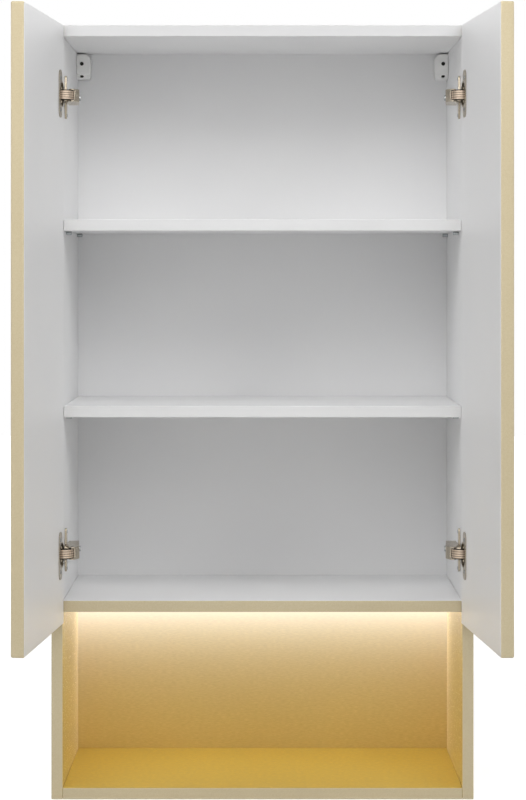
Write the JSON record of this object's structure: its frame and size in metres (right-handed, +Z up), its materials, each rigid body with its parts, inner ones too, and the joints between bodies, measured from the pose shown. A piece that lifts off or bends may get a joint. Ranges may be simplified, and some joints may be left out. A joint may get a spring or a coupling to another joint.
{
  "type": "wall cabinet",
  "caption": "Tall wall cabinet with slab doors on concealed cup hinges, shelves inside and an open niche with a recessed light below.",
  "frame": {"origin": "on the wall plane, at the middle of the bottom panel's rear edge", "axes": "+Y into the wall, +Z up, +X to the right as seen from the front; the doors stand open, at the end of their swing"},
  "size_m": [0.6512, 0.6017, 1.1],
  "materials": {
    "gold_paint": "matt champagne gold paint with a fine metallic speckle",
    "white_board": "satin white laminate",
    "nickel": "nickel-plated pressed steel",
    "zinc_steel": "zinc-plated steel",
    "white_plastic": "moulded white plastic",
    "aluminium": "anodised extrusion",
    "circuit_board": "white printed circuit strip",
    "milky_plastic": "milky light diffuser, lit warm white"
  },
  "bodies": {
    "carcass": {"side_panel_left": "gold_paint", "side_panel_right": "gold_paint", "bottom_panel": "gold_paint", "divider_panel": "gold_paint", "back_panel_niche": "gold_paint", "top_panel": "white_board", "back_panel_upper": "white_board", "shelf_lower": "white_board", "shelf_upper": "white_board", "shelf_pin_lower_front_left": "zinc_steel", "shelf_pin_lower_back_left": "zinc_steel", "shelf_pin_lower_front_right": "zinc_steel", "shelf_pin_lower_back_right": "zinc_steel", "shelf_pin_upper_front_left": "zinc_steel", "shelf_pin_upper_back_left": "zinc_steel", "shelf_pin_upper_front_right": "zinc_steel", "shelf_pin_upper_back_right": "zinc_steel", "hinge_arm_lower_left": "nickel", "hinge_plate_lower_left": "nickel", "hinge_adjuster_lower_left": "nickel", "hinge_arm_lower_right": "nickel", "hinge_plate_lower_right": "nickel", "hinge_adjuster_lower_right": "nickel", "hinge_arm_upper_left": "nickel", "hinge_plate_upper_left": "nickel", "hinge_adjuster_upper_left": "nickel", "hinge_arm_upper_right": "nickel", "hinge_plate_upper_right": "nickel", "hinge_adjuster_upper_right": "nickel", "hanger_housing_left": "white_plastic", "hanger_hook_left": "zinc_steel", "hanger_height_screw_left": "zinc_steel", "hanger_depth_screw_left": "zinc_steel", "hanger_housing_right": "white_plastic", "hanger_hook_right": "zinc_steel", "hanger_height_screw_right": "zinc_steel", "hanger_depth_screw_right": "zinc_steel", "light_profile": "aluminium", "light_strip": "circuit_board", "light_diffuser": "milky_plastic"},
    "left_inner_links": {"hinge_inner_link_lower_left": "nickel", "hinge_inner_link_upper_left": "nickel"},
    "left_door": {"door_left": "gold_paint", "hinge_cup_lower_left": "nickel", "hinge_cup_upper_left": "nickel"},
    "left_outer_links": {"hinge_outer_link_lower_left": "nickel", "hinge_outer_link_upper_left": "nickel"},
    "right_inner_links": {"hinge_inner_link_lower_right": "nickel", "hinge_inner_link_upper_right": "nickel"},
    "right_door": {"door_right": "gold_paint", "hinge_cup_lower_right": "nickel", "hinge_cup_upper_right": "nickel"},
    "right_outer_links": {"hinge_outer_link_lower_right": "nickel", "hinge_outer_link_upper_right": "nickel"}
  },
  "joints": [
    {"name": "left_inner_link_turn", "type": "hinge", "parent": "carcass", "child": "left_inner_links", "pos_m": [-0.26784, -0.2912, 0], "axis": [0, 0, -1], "range_deg": [-0.1, 24.4]},
    {"name": "left_door_swing", "type": "hinge", "parent": "left_inner_links", "child": "left_door", "pos_m": [-0.2846, -0.3128, 0], "axis": [0, 0, -1], "range_deg": [-119.27, 0]},
    {"name": "left_outer_link_turn", "type": "hinge", "parent": "left_door", "child": "left_outer_links", "pos_m": [-0.28927, -0.31339, 0], "axis": [0, 0, -1], "range_deg": [-0.1, 108.9]},
    {"name": "right_inner_link_turn", "type": "hinge", "parent": "carcass", "child": "right_inner_links", "pos_m": [0.26784, -0.2912, 0], "axis": [0, 0, 1], "range_deg": [-0.1, 24.4]},
    {"name": "right_door_swing", "type": "hinge", "parent": "right_inner_links", "child": "right_door", "pos_m": [0.2846, -0.3128, 0], "axis": [0, 0, 1], "range_deg": [-119.27, 0]},
    {"name": "right_outer_link_turn", "type": "hinge", "parent": "right_door", "child": "right_outer_links", "pos_m": [0.28927, -0.31339, 0], "axis": [0, 0, 1], "range_deg": [-0.1, 108.9]}
  ],
  "couplings": [
    {"joint": "left_inner_link_turn", "follows": "left_door_swing", "ratio": -0.20348},
    {"joint": "left_outer_link_turn", "follows": "left_door_swing", "ratio": -0.91181},
    {"joint": "right_inner_link_turn", "follows": "right_door_swing", "ratio": -0.20348},
    {"joint": "right_outer_link_turn", "follows": "right_door_swing", "ratio": -0.91181}
  ]
}
